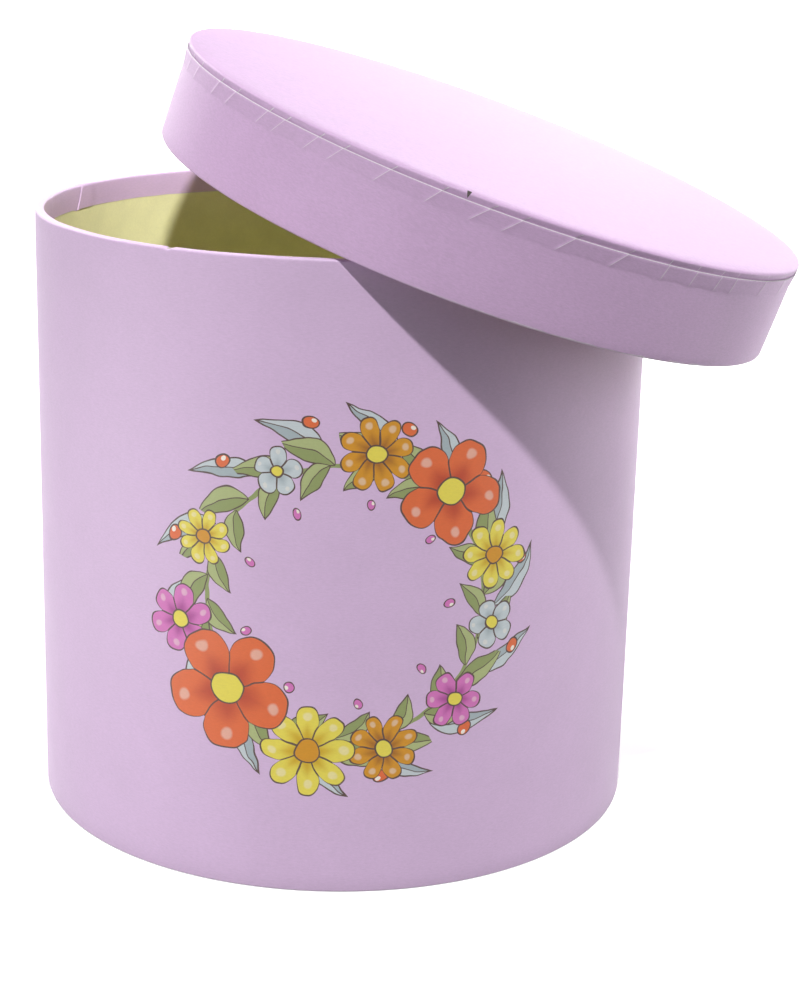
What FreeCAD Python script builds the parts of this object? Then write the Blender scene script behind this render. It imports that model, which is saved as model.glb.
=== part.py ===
"""Round gift box of rolled board covered in paper, with its lid leaning across the open rim.

Millimetres. The origin is the middle of the underside, +Z is up, and +X is the way the lid slopes down.
"""

import FreeCAD, Part
import math
import os
import re
import Sketcher

# Driving sizes: millimetres, degrees and counts.
SIZES = {
    "body_radius": 100.0,      # outside of the covered tube
    "body_height": 197.0,      # table to rim
    "wall_board": 2.0,         # board of the tube
    "disc_board": 2.5,         # board of the base and of both discs in the lid
    "ring_board": 1.75,        # board of the lid's rim
    "paper": 0.25,             # covering paper
    "liner": 0.2,              # lining paper
    "glue": 0.05,              # film of glue between two rolled layers
    "rim_round": 0.9,          # rounding of the board at the mouth
    "turn_in": 8.0,            # covering paper turned into the mouth
    "turn_under": 12.0,        # covering paper turned under the base
    "lap": 10.0,               # overlap where the covering paper meets itself
    "snip_width": 2.0,         # open end of the notches in the turned-under edge
    "snip_root": 1.5,          # paper left between a notch and the tube's outside
    "snip_count": 36,
    "cover_inset": 5.0,        # base cover inside the outside of the tube
    "joint_gap": 0.4,          # open butt joint of a rolled board
    "tape_width": 20.0,
    "tape_thickness": 0.12,
    "tape_play": 0.08,         # glue film all round the tape in its recess
    "tape_margin": 3.0,        # tape ends short of the board's edges
    "disc_fit": 0.15,          # glue line around a disc inside a ring
    "lid_height": 31.0,        # lower edge of the rim to the top
    "lid_fit": 0.45,           # radial play of the lid on the body
    "lid_edge_round": 0.8,     # rounding of the top board's edge
    "tab_reach": 6.6,          # top to the lower end of the folded tabs
    "tab_slit": 0.5,           # cut between two tabs
    "tab_count": 42,
    "rim_wrap_drop": 2.4,      # top to the upper edge of the rim's paper
    "rim_wrap_step": 1.0,      # run over which that paper steps down from the tabs to the board
    "lid_turn_in": 9.0,        # rim paper turned in at the lower edge
    "lid_cross": 19.46,        # from the axis to where the lid's lower edge crosses the rim
    "rest_gap": 0.1,           # play between the leaning lid and the rim
    "wall_joint_at": 100.0,    # around the axis from +X, counter-clockwise
    "wrap_lap_at": 168.0,
    "rim_joint_at": 60.0,
    "rim_lap_at": 125.0,
}

# Radii of the tube's layers, from the outside in.
WRAP_IN = "(body_radius - paper)"
TUBE_OUT = f"({WRAP_IN} - glue)"
TUBE_IN = f"({TUBE_OUT} - wall_board)"
LINER_OUT = f"({TUBE_IN} - glue)"
LINER_IN = f"({LINER_OUT} - liner)"
FOLDED_OUT = f"({LINER_IN} - glue)"
MOUTH = f"({FOLDED_OUT} - paper)"
UNDER_IN = "(body_radius - turn_under)"
COVER_OUT = "(body_radius - cover_inset)"
BASE_OUT = f"({LINER_IN} - disc_fit)"

# Heights in the body, from the table up: the base cover, the turned-under paper, then board.
FOOT = "(2*paper)"
BASE_TOP = f"({FOOT} + disc_board)"
WRAP_UNDER = "(body_height - paper)"
TUBE_TOP = f"({WRAP_UNDER} - glue)"
ROUND_FOOT = f"({TUBE_TOP} - rim_round)"

# Radii of the lid's layers, from the inside out.
LID_IN = "(body_radius + lid_fit)"
LID_FOLDED_OUT = f"({LID_IN} + paper)"
RIM_LINER_IN = f"({LID_FOLDED_OUT} + glue)"
RIM_LINER_OUT = f"({RIM_LINER_IN} + liner)"
RING_IN = f"({RIM_LINER_OUT} + glue)"
RING_OUT = f"({RING_IN} + ring_board)"
TAB_IN = f"({RING_OUT} + glue)"
TAB_OUT = f"({TAB_IN} + paper)"
OVER_TAB = f"({TAB_OUT} + glue)"
LID_OUT = f"({OVER_TAB} + paper)"
PLUG_OUT = f"({RIM_LINER_IN} - disc_fit)"

# Heights in the lid, from the lower edge of its rim.
COVER_UNDER = "(lid_height - paper)"
TOP_UPPER = f"({COVER_UNDER} - glue)"
TOP_LOWER = f"({TOP_UPPER} - disc_board)"
PLUG_LOWER = f"({TOP_LOWER} - disc_board)"
LID_DEPTH = f"({PLUG_LOWER} - liner)"
TAB_LOW = "(lid_height - tab_reach)"
RIM_WRAP_TOP = "(lid_height - rim_wrap_drop)"
STEP_LOW = f"({TAB_LOW} - rim_wrap_step)"

# The lid leans with its underside on one side of the rim and its lower edge on two points across it.
LEAN = f"asin({LID_DEPTH}/(body_radius - lid_cross))"
CROSS_TO_LID_AXIS = f"sqrt({LID_IN}^2 - body_radius^2 + lid_cross^2)"
LID_X = f"(lid_cross + {CROSS_TO_LID_AXIS}*cos({LEAN}))"
LID_Z = f"(body_height - {CROSS_TO_LID_AXIS}*sin({LEAN}) + rest_gap)"

# What a joint tape is sunk into: the board's outer radius, and the heights between which it lies.
TUBE_JOINT = (TUBE_OUT, FOOT, ROUND_FOOT)
RING_JOINT = (RING_OUT, "paper", TOP_LOWER)

FULL_TURN = "360"
LEFT = "left"
RIGHT = "right"

doc = FreeCAD.newDocument("round_gift_box")
sheet = doc.addObject("Spreadsheet::Sheet", "Sizes")
for row, (alias, number) in enumerate(SIZES.items(), start=1):
    sheet.set(f"A{row}", alias)
    sheet.set(f"B{row}", str(number))
    sheet.setAlias(f"B{row}", alias)
doc.recompute()


def bound(text):
    """An expression for the document, from one written in plain size names."""
    def name_in_sheet(word):
        name = word.group()
        if name == "deg_per_rad":
            return f"({math.degrees(1.0)!r})"
        return f"{sheet.Name}.{name}" if name in SIZES else name
    return re.sub(r"[a-z_]+", name_in_sheet, text)


def value(text):
    """What an expression comes to with the sheet's sizes."""
    result = sheet.evalExpression(bound(text))
    return float(getattr(result, "Value", result))


def turn_of(length, radius):
    """The angle, in degrees, that a length takes up around the axis."""
    return f"(deg_per_rad*({length})/{radius})"


def open_turn(radius):
    """A full turn, less the open butt joint of a board rolled to that outer radius."""
    return f"{FULL_TURN} - {turn_of('joint_gap', radius)}"


def add_body(label):
    return doc.addObject("PartDesign::Body", label)


def add_sketch(body, plane):
    """An empty sketch on one of the body's own origin planes."""
    sketch = body.newObject("Sketcher::SketchObject", f"{body.Label}_sketch")
    support = [feature for feature in body.Origin.OriginFeatures if feature.Role == plane]
    sketch.AttachmentSupport = [(support[0], "")]
    sketch.MapMode = "FlatFace"
    return sketch


def bind(sketch, constraint, text):
    index = sketch.addConstraint(constraint)
    sketch.setExpression(f"Constraints[{index}]", bound(text))


def arc_between(start, end, radius, turn):
    """The arc of under half a circle from start to end that turns LEFT or RIGHT."""
    chord = end - start
    aside = FreeCAD.Vector(-chord.y, chord.x, 0) / chord.Length
    depth = math.sqrt(radius**2 - (chord.Length / 2)**2)
    middle = (start + end) / 2 + aside * (depth if turn == LEFT else -depth)
    first, last = (start, end) if turn == LEFT else (end, start)
    angles = [math.atan2(point.y - middle.y, point.x - middle.x) for point in (first, last)]
    if angles[1] < angles[0]:
        angles[1] += 2 * math.pi
    return Part.ArcOfCircle(Part.Circle(middle, FreeCAD.Vector(0, 0, 1), radius), *angles)


def draw_outline(sketch, corners):
    """Close a loop through corners (x, y), each an expression, and bind it to the sheet.

    A corner given as (x, y, radius, turn) is reached along an arc.
    """
    points = [FreeCAD.Vector(value(x), value(y), 0) for x, y, *arc in corners]
    # In a sketch 1 is an edge's start and 2 its end; an arc always runs counter-clockwise.
    ends = []
    for index, (x, y, *arc) in enumerate(corners):
        start, end = points[index - 1], points[index]
        if arc:
            radius, turn = arc
            edge = sketch.addGeometry(arc_between(start, end, value(radius), turn))
            ends.append((edge, 1, 2) if turn == LEFT else (edge, 2, 1))
        else:
            edge = sketch.addGeometry(Part.LineSegment(start, end))
            ends.append((edge, 1, 2))
    for index, (x, y, *arc) in enumerate(corners):
        edge, _, end = ends[index]
        following, start, _ = ends[(index + 1) % len(corners)]
        sketch.addConstraint(Sketcher.Constraint("Coincident", edge, end, following, start))
        # In a sketch -1 is the level axis, -2 the upright one and (-1, 1) the point where they cross.
        if x == "0":
            sketch.addConstraint(Sketcher.Constraint("PointOnObject", edge, end, -2))
        else:
            bind(sketch, Sketcher.Constraint("DistanceX", -1, 1, edge, end, points[index].x), x)
        if y == "0":
            sketch.addConstraint(Sketcher.Constraint("PointOnObject", edge, end, -1))
        else:
            bind(sketch, Sketcher.Constraint("DistanceY", -1, 1, edge, end, points[index].y), y)
    for (edge, _, _), (x, y, *arc) in zip(ends, corners):
        if arc:
            radius = arc[0]
            bind(sketch, Sketcher.Constraint("Radius", edge, value(radius)), radius)


def turn_profile(body, corners, angle=FULL_TURN, midplane=False, feature="Revolution"):
    """Turn an outline of (radius, height) corners about the axis, to add it or to cut it away."""
    sketch = add_sketch(body, "XZ_Plane")
    draw_outline(sketch, corners)
    turned = body.newObject(f"PartDesign::{feature}", f"{body.Label}_{feature.lower()}")
    turned.Profile = sketch
    turned.ReferenceAxis = (sketch, ["V_Axis"])
    turned.setExpression("Angle", bound(angle))
    turned.Midplane = midplane
    body.Tip = turned
    doc.recompute()
    return turned


def cut_around(body, plane, start, corners, length, count):
    """Cut an outline outwards from a start in front of the plane, and repeat the cut around the axis."""
    before = body.Shape.Volume
    sketch = add_sketch(body, plane)
    sketch.setExpression("AttachmentOffset.Base.z", bound(start))
    draw_outline(sketch, corners)
    pocket = body.newObject("PartDesign::Pocket", f"{body.Label}_cut")
    pocket.Profile = sketch
    pocket.setExpression("Length", bound(length))
    pocket.Reversed = True
    body.Tip = pocket
    doc.recompute()
    pattern = body.newObject("PartDesign::PolarPattern", f"{body.Label}_cuts")
    pattern.Originals = [pocket]
    upright = [feature for feature in body.Origin.OriginFeatures if feature.Role == "Z_Axis"]
    pattern.Axis = (upright[0], [""])
    pattern.Angle = 360
    pattern.setExpression("Occurrences", bound(count))
    body.Tip = pattern
    doc.recompute()
    if not body.Shape.Volume < before:
        raise RuntimeError(f"the cuts in {body.Label} remove nothing")


def sink_for_tape(body, outside, low, high):
    """Press the recess for a joint tape into a rolled board, centred on its joint."""
    before = body.Shape.Volume
    turn_profile(body, block(
        f"{outside} - 2*tape_play - tape_thickness", outside,
        f"{low} + tape_margin - tape_play", f"{high} - tape_margin + tape_play",
    ), turn_of("tape_width + 2*tape_play", outside), midplane=True, feature="Groove")
    if not body.Shape.Volume < before:
        raise RuntimeError(f"the recess in {body.Label} removes nothing")


def lay_tape(body, outside, low, high):
    """Gummed tape in the middle of its recess."""
    turn_profile(body, block(
        f"{outside} - tape_play - tape_thickness", f"{outside} - tape_play",
        f"{low} + tape_margin", f"{high} - tape_margin",
    ), turn_of("tape_width", outside), midplane=True)


def stand(body, spin="0"):
    """Place a piece of the box, turned about the axis."""
    body.setExpression("Placement", bound(f"placement(vector(0; 0; 0); rotation(vector(0; 0; 1); {spin}))"))


def lean(body, spin="0"):
    """Place a piece of the lid as it lies across the rim, turned about the lid's own axis."""
    at = f"vector({LID_X}; 0; {LID_Z})"
    turned = f"rotation(vector(0; 1; 0); {LEAN}) * rotation(vector(0; 0; 1); {spin})"
    body.setExpression("Placement", bound(f"placement({at}; {turned})"))


def block(inner, outer, low, high):
    """Four corners of a plain band between two radii and two heights."""
    return [(inner, low), (outer, low), (outer, high), (inner, high)]


def wall_board():
    """Board strip rolled to a tube, open at its butt joint, rounded at the mouth."""
    body = add_body("wall_board")
    turn_profile(body, [
        (TUBE_IN, FOOT),
        (TUBE_OUT, FOOT),
        (TUBE_OUT, ROUND_FOOT),
        (f"{TUBE_OUT} - rim_round", TUBE_TOP, "rim_round", LEFT),
        (TUBE_IN, TUBE_TOP),
    ], open_turn(TUBE_OUT))
    sink_for_tape(body, *TUBE_JOINT)
    stand(body, "wall_joint_at")
    return body


def wall_joint_tape():
    """Gummed tape pressed into the board over the tube's joint."""
    body = add_body("wall_joint_tape")
    lay_tape(body, *TUBE_JOINT)
    stand(body, "wall_joint_at")
    return body


def wall_liner():
    """Lining paper on the inside of the tube, rolled with it."""
    body = add_body("wall_liner")
    turn_profile(body, block(LINER_IN, LINER_OUT, FOOT, TUBE_TOP), open_turn(TUBE_OUT))
    stand(body, "wall_joint_at")
    return body


def base_board():
    """Board disc in the foot of the tube."""
    body = add_body("base_board")
    turn_profile(body, block("0", BASE_OUT, FOOT, BASE_TOP))
    stand(body)
    return body


def floor_liner():
    """Lining paper disc on the base."""
    body = add_body("floor_liner")
    turn_profile(body, block("0", BASE_OUT, BASE_TOP, f"{BASE_TOP} + liner"))
    stand(body)
    return body


def body_wrap():
    """Covering paper: under the base, up the outside, over the rim and into the mouth, lapped on itself."""
    body = add_body("body_wrap")
    flat_rim = f"{TUBE_OUT} - rim_round"
    fold = "(rim_round + glue)"
    mouth_end = "body_height - turn_in"
    turn_profile(body, [
        (UNDER_IN, "paper"),
        (WRAP_IN, "paper"),
        ("body_radius", FOOT, "paper", LEFT),
        ("body_radius", ROUND_FOOT),
        (flat_rim, "body_height", f"{fold} + paper", LEFT),
        (FOLDED_OUT, "body_height"),
        (MOUTH, WRAP_UNDER, "paper", LEFT),
        (MOUTH, mouth_end),
        (FOLDED_OUT, mouth_end),
        (FOLDED_OUT, WRAP_UNDER),
        (flat_rim, WRAP_UNDER),
        (WRAP_IN, ROUND_FOOT, fold, RIGHT),
        (WRAP_IN, FOOT),
        (UNDER_IN, FOOT),
    ])
    notch_mouth = f"{UNDER_IN} - snip_root"
    cut_around(body, "XY_Plane", "0", [
        (notch_mouth, "-snip_width/2"),
        (f"{WRAP_IN} - snip_root", "0"),
        (notch_mouth, "snip_width/2"),
    ], f"{FOOT} + paper", "snip_count")
    inlaid = "paper/2"
    turn_profile(body, [
        (f"body_radius - {inlaid}", FOOT),
        ("body_radius + paper", FOOT),
        ("body_radius + paper", ROUND_FOOT),
        (flat_rim, "body_height + paper", f"{fold} + 2*paper", LEFT),
        (FOLDED_OUT, "body_height + paper"),
        (f"{MOUTH} - paper", WRAP_UNDER, "2*paper", LEFT),
        (f"{MOUTH} - paper", mouth_end),
        (f"{MOUTH} + {inlaid}", mouth_end),
        (f"{MOUTH} + {inlaid}", WRAP_UNDER),
        (FOLDED_OUT, f"body_height - {inlaid}", inlaid, RIGHT),
        (flat_rim, f"body_height - {inlaid}"),
        (f"body_radius - {inlaid}", ROUND_FOOT, f"{fold} + {inlaid}", RIGHT),
    ], turn_of("lap", "body_radius"))
    stand(body, "wrap_lap_at")
    return body


def base_cover():
    """Paper disc over the turned-under edge, that the box stands on."""
    body = add_body("base_cover")
    turn_profile(body, block("0", COVER_OUT, "0", "paper"))
    stand(body)
    return body


def lid_top_board():
    """Board disc that closes the lid, its upper edge rounded."""
    body = add_body("lid_top_board")
    turn_profile(body, [
        ("0", TOP_LOWER),
        (RING_OUT, TOP_LOWER),
        (RING_OUT, f"{TOP_UPPER} - lid_edge_round"),
        (f"{RING_OUT} - lid_edge_round", TOP_UPPER, "lid_edge_round", LEFT),
        ("0", TOP_UPPER),
    ])
    lean(body)
    return body


def lid_plug_board():
    """Board disc under the top that sits inside the rim and keeps it round."""
    body = add_body("lid_plug_board")
    turn_profile(body, block("0", PLUG_OUT, PLUG_LOWER, TOP_LOWER))
    lean(body)
    return body


def lid_inner_cover():
    """Lining paper disc that shows inside the lid."""
    body = add_body("lid_inner_cover")
    turn_profile(body, block("0", PLUG_OUT, LID_DEPTH, PLUG_LOWER))
    lean(body)
    return body


def lid_rim_board():
    """Board strip rolled to the lid's rim, open at its butt joint."""
    body = add_body("lid_rim_board")
    turn_profile(body, block(RING_IN, RING_OUT, "paper", TOP_LOWER), open_turn(RING_OUT))
    sink_for_tape(body, *RING_JOINT)
    lean(body, "rim_joint_at")
    return body


def lid_rim_joint_tape():
    """Gummed tape pressed into the board over the rim's joint."""
    body = add_body("lid_rim_joint_tape")
    lay_tape(body, *RING_JOINT)
    lean(body, "rim_joint_at")
    return body


def lid_rim_liner():
    """Lining paper on the inside of the rim, rolled with it."""
    body = add_body("lid_rim_liner")
    turn_profile(body, block(RIM_LINER_IN, RIM_LINER_OUT, "paper", TOP_LOWER), open_turn(RING_OUT))
    lean(body, "rim_joint_at")
    return body


def lid_top_cover():
    """Covering paper on the top, snipped into tabs that are folded down over the rim."""
    body = add_body("lid_top_cover")
    fold_in = f"{RING_OUT} - lid_edge_round"
    fold_low = f"{TOP_UPPER} - lid_edge_round"
    fold = "(lid_edge_round + glue)"
    turn_profile(body, [
        ("0", COVER_UNDER),
        (fold_in, COVER_UNDER),
        (TAB_IN, fold_low, fold, RIGHT),
        (TAB_IN, TAB_LOW),
        (TAB_OUT, TAB_LOW),
        (TAB_OUT, fold_low),
        (fold_in, "lid_height", f"{fold} + paper", LEFT),
        ("0", "lid_height"),
    ])
    cut_around(body, "YZ_Plane", f"{TAB_IN} - paper", [
        ("-tab_slit/2", f"{TAB_LOW} - paper"),
        ("tab_slit/2", f"{TAB_LOW} - paper"),
        ("tab_slit/2", fold_low),
        ("-tab_slit/2", fold_low),
    ], "3*paper", "tab_count")
    lean(body)
    return body


def lid_rim_wrap():
    """Covering paper around the rim, over the tabs, turned in at the lower edge and lapped on itself."""
    body = add_body("lid_rim_wrap")
    turn_profile(body, [
        (LID_FOLDED_OUT, "0", "paper", LEFT),
        (TAB_IN, "0"),
        (TAB_OUT, "paper", "paper", LEFT),
        (TAB_OUT, STEP_LOW),
        (LID_OUT, TAB_LOW),
        (LID_OUT, RIM_WRAP_TOP),
        (OVER_TAB, RIM_WRAP_TOP),
        (OVER_TAB, TAB_LOW),
        (TAB_IN, STEP_LOW),
        (TAB_IN, "paper"),
        (LID_FOLDED_OUT, "paper"),
        (LID_FOLDED_OUT, "lid_turn_in"),
        (LID_IN, "lid_turn_in"),
        (LID_IN, "paper"),
    ])
    inlaid = "paper/2"
    turn_profile(body, [
        (f"{TAB_OUT} - {inlaid}", "paper"),
        (f"{TAB_OUT} + paper", "paper"),
        (f"{TAB_OUT} + paper", STEP_LOW),
        (f"{LID_OUT} + paper", TAB_LOW),
        (f"{LID_OUT} + paper", RIM_WRAP_TOP),
        (f"{LID_OUT} - {inlaid}", RIM_WRAP_TOP),
        (f"{LID_OUT} - {inlaid}", TAB_LOW),
        (f"{TAB_OUT} - {inlaid}", STEP_LOW),
    ], turn_of("lap", LID_OUT))
    lean(body, "rim_lap_at")
    return body


BOX_PIECES = (wall_board, wall_joint_tape, wall_liner, base_board, floor_liner, body_wrap, base_cover)
LID_PIECES = (lid_top_board, lid_plug_board, lid_inner_cover, lid_rim_board, lid_rim_joint_tape,
              lid_rim_liner, lid_top_cover, lid_rim_wrap)

pieces = [make() for make in BOX_PIECES + LID_PIECES]
doc.recompute()

for thing in doc.Objects:
    if "Invalid" in thing.State or "Error" in thing.State:
        raise RuntimeError(f"{thing.Name} failed: {thing.State}")
for piece in pieces:
    if piece.Shape.isNull() or not piece.Shape.isValid():
        raise RuntimeError(f"{piece.Label} has no valid shape")
    if len(piece.Shape.Solids) != 1:
        raise RuntimeError(f"{piece.Label} is not one solid")

os.makedirs("parts", exist_ok=True)
for piece in pieces:
    piece.Shape.exportStep(f"parts/{piece.Label}.step")
    print(piece.Label, round(piece.Shape.Volume, 2))
print("lean", round(value(LEAN), 3), "lid at", round(value(LID_X), 3), round(value(LID_Z), 3))
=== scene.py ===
"""Looks of a round gift box of paper-covered board, with its lid leaning across the open rim."""

import bisect
import math
import random

import bmesh
import bpy
from mathutils import Matrix, Vector, noise


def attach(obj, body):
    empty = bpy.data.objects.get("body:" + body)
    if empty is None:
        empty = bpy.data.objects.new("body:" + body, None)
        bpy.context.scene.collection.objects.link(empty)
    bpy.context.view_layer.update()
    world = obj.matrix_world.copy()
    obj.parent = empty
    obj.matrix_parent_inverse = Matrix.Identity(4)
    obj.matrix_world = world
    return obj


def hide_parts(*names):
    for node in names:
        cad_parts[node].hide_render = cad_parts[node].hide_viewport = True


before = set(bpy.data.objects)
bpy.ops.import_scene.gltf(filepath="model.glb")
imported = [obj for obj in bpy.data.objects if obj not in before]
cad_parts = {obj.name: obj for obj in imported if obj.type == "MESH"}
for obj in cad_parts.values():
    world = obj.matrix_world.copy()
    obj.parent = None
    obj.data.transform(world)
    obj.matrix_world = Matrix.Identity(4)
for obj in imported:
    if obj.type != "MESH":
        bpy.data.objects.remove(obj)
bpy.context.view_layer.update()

bl_info = {
    "name": "Round Gift Box",
    "version": (1, 0, 0),
    "blender": (4, 5, 0),
    "location": "View3D > Sidebar > Gift Box",
    "description": "Covers the packed round gift box in paper and stands it in a studio",
    "category": "Object",
}

MM = 0.001
WALL = 100 * MM   # radius at which patterns on the round walls have their true size
ROUND_STEPS = 5   # facets of a rounded fold
WEDGES = 12       # equal parts of a turned sheet
CRISP_ANGLE = 38  # edges sharper than this, in degrees, are not smoothed over


def linear(code):
    """A colour for Blender from an sRGB hex code."""
    shares = [int(code[at:at + 2], 16) / 255 for at in (1, 3, 5)]
    return [*(share / 12.92 if share < 0.04045 else ((share + 0.055) / 1.055)**2.4 for share in shares), 1.0]


def length(name, description, millimetres):
    """A size that a user may change."""
    return bpy.props.FloatProperty(name=name, description=description, default=millimetres * MM,
                                   unit="LENGTH", precision=5)


def colour(name, description, code):
    """A colour that a user may change, from its hex code."""
    return bpy.props.FloatVectorProperty(name=name, description=description, default=linear(code),
                                         subtype="COLOR", size=4, min=0.0, max=1.0)


class BoxSizes(bpy.types.PropertyGroup):
    """Sizes of the papers, as in the CAD model that they cover."""
    radius: length("Radius", "Outside of the covered tube", 100)
    height: length("Height", "Table to rim", 197)
    paper: length("Paper", "Thickness of the covering paper", 0.25)
    lining: length("Lining", "Thickness of the lining paper", 0.2)
    lining_radius: length("Lining radius", "Inside of the lining in the tube", 97.45)
    floor: length("Floor", "Table to the lining on the floor", 3.2)
    mouth: length("Mouth", "Inside of the paper turned into the mouth", 97.15)
    turn_in: length("Turn-in", "Paper turned into the mouth", 7.8)
    turn_under: length("Turn-under", "Paper turned under the foot", 12)
    base_inset: length("Base inset", "Base paper inside the outside of the tube", 5)
    rim_round: length("Rim rounding", "Rounding of the covered rim", 0.8)
    lid_inside: length("Lid inside", "Radius inside the lid's rim", 100.45)
    lid_lining: length("Lid lining", "Inside of the lining in the lid's rim", 100.75)
    lid_side: length("Lid side", "Radius over the tabs on the lid's rim", 103.05)
    lid_height: length("Lid height", "Lower edge of the lid's rim to its top", 31)
    lid_depth: length("Lid depth", "Lower edge of the lid's rim to its inside", 25.5)
    lid_turn_in: length("Lid turn-in", "Rim paper turned in at the lower edge", 9)
    lid_fold: length("Lid fold", "Rounding of the top paper over the lid's edge", 0.7)
    tab_reach: length("Tabs", "Top of the lid to the lower end of the folded tabs", 6.6)
    rim_drop: length("Rim paper", "Top of the lid to the upper edge of the rim's paper", 2.4)
    lid_cross: length("Lid crossing", "From the axis to where the lid's edge crosses the rim", 19.46)
    rest_gap: length("Rest gap", "Play between the leaning lid and the rim", 0.1)


class BoxColours(bpy.types.PropertyGroup):
    """Colours of the papers, boards and print."""
    lilac: colour("Lilac", "Ground colour of the covering paper", "#ddbfe2")
    # The lid's ground is a deeper, more saturated copy of the lilac: painted shade on the lid's paper.
    lid_shaded_lilac: colour("Lid lilac", "Ground colour of the lid's paper, deepened as painted shade", "#d4b1d8")
    lining: colour("Lining", "Lining paper", "#f0ecb6")
    core: colour("Core", "White core and back of the papers", "#f0e8f0")
    board: colour("Board", "Grey board", "#a39d92")
    tape: colour("Tape", "Gummed paper tape", "#b8925f")
    ink: colour("Outlines", "Outlines of the print", "#3b2118")
    red: colour("Red", "Red petals", "#df6a38")
    deep_red: colour("Deep red", "Throat of the red petals", "#b33f1e")
    amber: colour("Amber", "Amber petals", "#d3921c")
    deep_amber: colour("Deep amber", "Throat of the amber petals", "#9c5f0a")
    yellow: colour("Yellow", "Yellow petals", "#ecdc57")
    deep_yellow: colour("Deep yellow", "Throat of the yellow petals", "#cfa81f")
    pale: colour("Pale blue", "Pale blue petals and sprigs", "#cdd6da")
    deep_pale: colour("Deep pale blue", "Shaded half of the sprigs", "#a9b6bb")
    pink: colour("Pink", "Pink petals and berries", "#d978bf")
    deep_pink: colour("Deep pink", "Throat of the pink petals", "#a6438f")
    sage: colour("Sage", "Leaves", "#aeb87f")
    deep_sage: colour("Deep sage", "Shaded half of the leaves", "#8a965d")
    floor: colour("Floor", "Studio floor", "#f6f6f6")


def turned_sheet(profile, columns, seen_from):
    """Turn an open profile about the upright axis into a single layer of faces.

    Each corner is (radius, height, rounding, rows of faces to the next corner), and seen_from is the
    (radius, height) from which the good side shows.
    """
    bm = bmesh.new()
    corners = [bm.verts.new((radius, 0.0, height)) for radius, height, _, _ in profile]
    for start, end, (_, _, _, rows) in zip(corners, corners[1:], profile):
        line = [start, *(bm.verts.new(start.co.lerp(end.co, row / rows)) for row in range(1, rows)), end]
        for before, after in zip(line, line[1:]):
            bm.edges.new((before, after))
    for corner, (_, _, rounding, _) in zip(corners, profile):
        if rounding:
            bmesh.ops.bevel(bm, geom=[corner], offset=rounding, offset_type="OFFSET", segments=ROUND_STEPS,
                            profile=0.5, affect="VERTICES", material=-1)
    # One wedge is spun, and then copied around, which is quicker than one long spin.
    bmesh.ops.spin(bm, geom=[*bm.verts, *bm.edges], cent=(0, 0, 0), axis=(0, 0, 1), angle=math.tau / WEDGES,
                   steps=columns // WEDGES)
    bmesh.ops.spin(bm, geom=[*bm.verts, *bm.edges, *bm.faces], cent=(0, 0, 0), axis=(0, 0, 1),
                   angle=math.tau * (1 - 1 / WEDGES), steps=WEDGES - 1, use_duplicate=True)
    bmesh.ops.remove_doubles(bm, verts=bm.verts[:], dist=0.0005 * MM)
    bmesh.ops.recalc_face_normals(bm, faces=bm.faces[:])
    facing = 0.0
    for face in bm.faces:
        middle = face.calc_center_median()
        out = Vector((middle.x, middle.y, 0.0)).normalized()
        view = out * seen_from[0] + Vector((0, 0, seen_from[1])) - middle
        facing += face.calc_area() * face.normal.dot(view)
    if facing < 0:
        bmesh.ops.reverse_faces(bm, faces=bm.faces[:])
    return bm


def around(point):
    """A point's turn about the axis in degrees, its radius and its height."""
    return math.degrees(math.atan2(point.y, point.x)), math.hypot(point.x, point.y), point.z


def put(vert, turn, radius, height):
    """Move a vertex to a turn about the axis in degrees, a radius and a height."""
    angle = math.radians(turn)
    vert.co = (radius * math.cos(angle), radius * math.sin(angle), height)


def away(turn, line):
    """How far a turn is past a line, in degrees from -180 to 180."""
    return (turn - line + 180) % 360 - 180


def hump(turn, line, width):
    """A smooth bump along a line up the wall: one on the line, and little beyond its width in degrees."""
    return math.exp(-(away(turn, line) / width)**2)


def gather(turn, lines, step, gap):
    """Pull the two columns on either side of a line close up to it, so that an edge along it is crisp."""
    for line in lines:
        past = away(turn, line)
        if abs(past) < 2 * step:
            return line + math.copysign(gap / 2 + 0.4 * step * (abs(past) >= step), past)
    return turn


def ease(low, high, value):
    """Zero below low, one above high, and smooth between."""
    share = min(max((value - low) / (high - low), 0.0), 1.0)
    return share * share * (3 - 2 * share)


def wander(turn, height, size):
    """A smooth rise and fall from -1 to 1 over a round wall, for swells about that size across."""
    angle = math.radians(turn)
    reach = WALL / size
    return noise.noise(Vector((reach * math.cos(angle), reach * math.sin(angle), height / size)))


def finish_piece(name, bm, thickness, materials, body, node):
    """Give a single layer its thickness below its good side, and hand it over for its CAD node.

    A second material is the paper's core, which shows at cut edges and on its back.
    """
    layer = bpy.data.meshes.new(f"{name}_layer")
    bm.to_mesh(layer)
    bm.free()
    for material in materials:
        layer.materials.append(material)
    piece = bpy.data.objects.new(name, layer)
    bpy.context.scene.collection.objects.link(piece)
    sheet = piece.modifiers.new("Paper", "SOLIDIFY")
    sheet.thickness = thickness
    sheet.offset = -1
    sheet.use_even_offset = True
    sheet.material_offset = len(materials) - 1
    sheet.material_offset_rim = len(materials) - 1
    evaluated = piece.evaluated_get(bpy.context.evaluated_depsgraph_get())
    mesh = bpy.data.meshes.new_from_object(evaluated)
    piece.modifiers.clear()
    piece.data = mesh
    bpy.data.meshes.remove(layer)
    mesh.name = name
    mesh.shade_smooth()
    mesh.set_sharp_from_angle(angle=math.radians(CRISP_ANGLE))
    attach(piece, body)
    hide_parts(node)


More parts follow.
